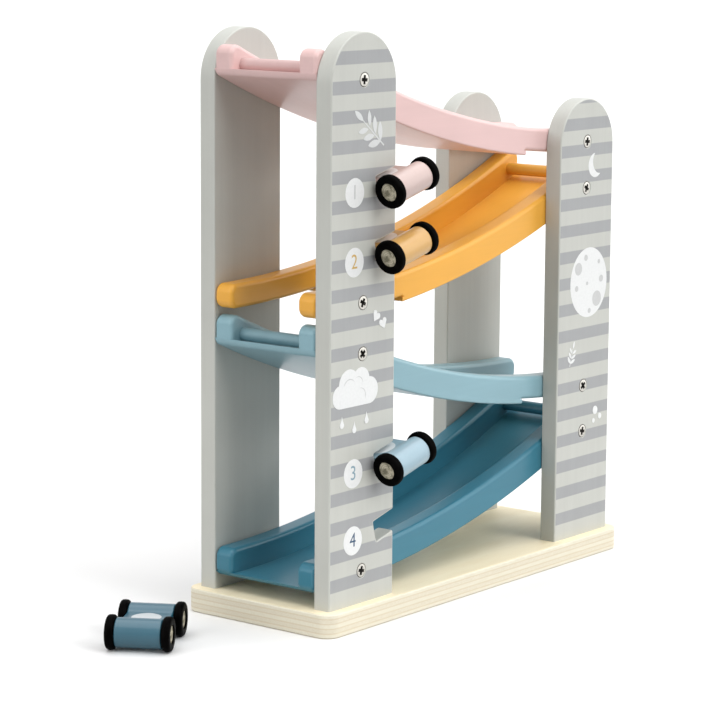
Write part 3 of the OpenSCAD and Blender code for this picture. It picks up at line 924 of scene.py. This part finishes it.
class PrintSheet:
    """Collects flat printed shapes on one board; each later shape lies a hair higher."""

    def __init__(self, face_y):
        """An empty sheet on a board's face at that depth."""
        self.bm = bmesh.new()
        self.face_y = face_y
        self.layer = 0

    def settle(self, known, ink, place, turn, size, tall):
        """Turns the new shape, moves it to its place, gives it its ink and its thickness."""
        bm = self.bm
        fresh = [v for v in bm.verts if v not in known]
        self.layer += 1
        top = self.face_y - (INK_THICKNESS + INK_STEP * self.layer) * MM
        lay = Matrix.Rotation(math.radians(-turn), 3, "Y")
        bmesh.ops.scale(bm, vec=(size * MM, 1, size * tall * MM), verts=fresh)
        bmesh.ops.rotate(bm, cent=(0, 0, 0), matrix=lay, verts=fresh)
        bmesh.ops.translate(bm, vec=(place[0] * MM, top, place[1] * MM), verts=fresh)
        faces = [f for f in bm.faces if f.verts[0] not in known]
        for face in faces:
            face.normal_update()
            if face.normal.y > 0:
                face.normal_flip()
            face.material_index = ink
        made = bmesh.ops.extrude_face_region(bm, geom=faces, use_keep_orig=True)["geom"]
        back = [v for v in made if isinstance(v, bmesh.types.BMVert)]
        for vert in back:
            vert.co.y = self.face_y
        bmesh.ops.recalc_face_normals(bm, faces=[f for f in bm.faces if f.verts[0] not in known])

    def stand(self, verts):
        """Stands a shape that was made lying on the ground."""
        lay = Matrix.Rotation(math.pi / 2, 3, "X")
        bmesh.ops.rotate(self.bm, cent=(0, 0, 0), matrix=lay, verts=verts)

    def disc(self, ink, place, radius, tall=1.0):
        """A filled circle, or an ellipse that is taller or lower by a share."""
        known = set(self.bm.verts)
        made = bmesh.ops.create_circle(self.bm, cap_ends=True, segments=DISC_SIDES, radius=1)
        self.stand(made["verts"])
        self.settle(known, ink, place, 0, radius, tall)

    def outline(self, ink, place, points, size, turn=0):
        """A closed shape of (x, z, bulge); an arc that turns by the bulge leads to the next point."""
        bm = self.bm
        known = set(bm.verts)
        for (x, z, bulge), (next_x, next_z, _) in zip(points, points[1:] + points[:1]):
            a, b = Vector((x, 0, z)), Vector((next_x, 0, next_z))
            start = bm.verts.new(a)
            if not bulge:
                bm.edges.new((start, bm.verts.new(b)))
                continue
            chord = b - a
            side = Vector((-chord.z, 0, chord.x))
            bend = math.radians(bulge)
            centre = (a + b) / 2 + side * (0.5 / math.tan(bend / 2))
            steps = max(3, int(abs(bulge) / ARC_STEP))
            bmesh.ops.spin(bm, geom=[start], cent=centre, axis=(0, -1, 0), angle=bend, steps=steps)
        fresh = [v for v in bm.verts if v not in known]
        bmesh.ops.remove_doubles(bm, verts=fresh, dist=0.001)
        edges = [e for e in bm.edges if e.verts[0] not in known]
        bmesh.ops.contextual_create(bm, geom=edges)
        self.settle(known, ink, place, turn, size, 1.0)

    def digit(self, ink, place, sign, height):
        """One plain figure of that height."""
        curve = bpy.data.curves.new("figure_" + sign, "FONT")
        curve.body = sign
        curve.align_x, curve.align_y = "CENTER", "CENTER"
        holder = bpy.data.objects.new("figure_" + sign, curve)
        bpy.context.scene.collection.objects.link(holder)
        flat = evaluated_mesh(holder)
        bpy.data.objects.remove(holder)
        known = set(self.bm.verts)
        self.bm.from_mesh(flat)
        self.stand([v for v in self.bm.verts if v not in known])
        self.settle(known, ink, place, 0, height / FIGURE_SHARE, 1.0)

    def finished(self, name):
        """The printed sheet as one object that rides on the tower."""
        inks = [print_finish(ink, colour) for ink, colour in INKS.items()]
        sheet = finish_mesh(self.bm, name, inks)
        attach(sheet, "tower")


# Outlines of the motifs, about one unit across
LEAF = [(0, -1, 80), (0, 1, 80)]
DROP = [(-0.62, -0.35, 212), (0.62, -0.35, -18), (0, 1.25, -18)]
PUFF = [(-1, 0, -130), (1, 0, 112)]
CRESCENT = [(0.35, -0.93, -222), (0.35, 0.93, 138)]
HEART = [(0, -1, 0), (0.93, 0.05, 200), (0, 0.38, 200), (-0.93, 0.05, 0)]
STEM = [(-0.05, -1.5, 0), (0.05, -1.5, 0), (0.03, 1.1, 0), (-0.03, 1.1, 0)]
CLOUD_FOOT = [(-1.3, -0.62, 0), (1.15, -0.62, 0), (1.15, 0.1, 0), (-1.3, 0.1, 0)]
CLOUD_ROUNDS = (
    (-1.3, 0, 0.62), (-0.55, 0.55, 0.85), (0.45, 0.7, 0.7), (1.15, 0.1, 0.72), (0.1, 0.05, 0.66),
)


# A sprig's leaves, in sizes of the sprig: the tip leaf's height and size; how far the others are
# from the stem; the lowest pair's height and size, and what each next pair adds to them; and how
# far they lean out, in degrees
TIP_LEAF_HEIGHT = 1.35
TIP_LEAF_SIZE = 0.48
PAIR_OUT = 0.43
PAIR_HEIGHT = (-0.72, 0.62)
PAIR_SIZE = (0.56, -0.06)
PAIR_LEAN = 48


def sprig(sheet, ink, place, turn, size):
    """A stem with three pairs of leaves and one at the tip."""
    lean = math.radians(turn)

    def at(x, z):
        """A point of the sprig on the board."""
        return (
            place[0] + size * (x * math.cos(lean) - z * math.sin(lean)),
            place[1] + size * (x * math.sin(lean) + z * math.cos(lean)),
        )

    sheet.outline(ink, at(0, 0), STEM, size, turn)
    sheet.outline(ink, at(0, TIP_LEAF_HEIGHT), LEAF, size * TIP_LEAF_SIZE, turn)
    for step in range(3):
        grown = size * (PAIR_SIZE[0] + PAIR_SIZE[1] * step)
        for side in (-1, 1):
            root = at(side * PAIR_OUT, PAIR_HEIGHT[0] + PAIR_HEIGHT[1] * step)
            sheet.outline(ink, root, LEAF, grown, turn - side * PAIR_LEAN)


def cloud(sheet, ink, place, size):
    """Five overlapping rounds on a flat foot."""
    for x, z, radius in CLOUD_ROUNDS:
        sheet.disc(ink, (place[0] + x * size, place[1] + z * size), radius * size)
    sheet.outline(ink, place, CLOUD_FOOT, size)


# The number discs, and each figure's height on the board, its sign and its ink
NUMBER_X = -103
NUMBER_DISC_RADIUS = 7.15
FIGURE_HEIGHT = 7.0
FIGURES = (
    (213.6, "1", PALE_GREY), (180.2, "2", MUSTARD), (77.3, "3", BLUE_GREY), (44.1, "4", DARK_BLUE),
)
# Sprigs: place, turn and size
LEFT_SPRIG = (-91, 243), 52, 8.6
RIGHT_SPRIG = (84.5, 112), -18, 4.2
# The cloud's place and size, its drops' places, and x, z, size and turn of the lines on it
CLOUD = (-101.5, 116), 9.2
DROP_SIZE = 2.4
DROPS = ((-112, 103.5), (-102.5, 100), (-93, 103.5))
PUFFS = ((-106.5, 121.5, 4.2, 8), (-99.0, 122.5, 3.2, -24), (-96.5, 116.0, 3.6, -50))
# Hearts: x, z and turn
HEART_SIZE = 2.9
HEARTS = ((-80.5, 148.5, 20), (-86, 152.5, -35))
# The young moon's place, size and turn; the full moon's place, radius and height by width
YOUNG_MOON = (104, 213), 6.6, 25
FULL_MOON = (99.5, 150), 17.5, 1.08
# Craters and pebbles: x, z and radius
CRATERS = (
    (89.5, 158, 3.4), (96.5, 163.5, 1.7), (107.5, 140.5, 4.2), (100.5, 134.5, 1.4), (88, 147.5, 1.6),
    (111.5, 151, 1.9), (109, 160.5, 1.2), (98, 149.5, 1.0),
)
PEBBLES = ((108, 79, 2.3), (112.6, 75.2, 1.6), (106.5, 73.4, 1.3))


def build_left_prints():
    """Number discs beside the notches, a sprig, a cloud with drops and two hearts."""
    sheet = PrintSheet(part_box("front_left_upright")[0].y)
    for z, sign, ink in FIGURES:
        sheet.disc(WHITE, (NUMBER_X, z), NUMBER_DISC_RADIUS)
        sheet.digit(ink, (NUMBER_X, z), sign, FIGURE_HEIGHT)
    sprig(sheet, SOFT_WHITE, *LEFT_SPRIG)
    cloud(sheet, WHITE, *CLOUD)
    for place in DROPS:
        sheet.outline(WHITE, place, DROP, DROP_SIZE)
    for x, z, size, turn in PUFFS:
        sheet.outline(PALE_GREY, (x, z), PUFF, size, turn)
    for x, z, turn in HEARTS:
        sheet.outline(WHITE, (x, z), HEART, HEART_SIZE, turn)
    sheet.finished("front_left_prints")


def build_right_prints():
    """A crescent, a full moon with craters, a sprig and three pebbles."""
    sheet = PrintSheet(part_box("front_right_upright")[0].y)
    place, size, turn = YOUNG_MOON
    sheet.outline(WHITE, place, CRESCENT, size, turn)
    sheet.disc(WHITE, *FULL_MOON)
    for x, z, radius in CRATERS:
        sheet.disc(PALE_GREY, (x, z), radius)
    sprig(sheet, WHITE, *RIGHT_SPRIG)
    for x, z, radius in PEBBLES:
        sheet.disc(WHITE, (x, z), radius)
    sheet.finished("front_right_prints")


build_studio()
place_camera()
build_base()
build_uprights()
build_ramps()
build_screws()
build_cars()
build_left_prints()
build_right_prints()
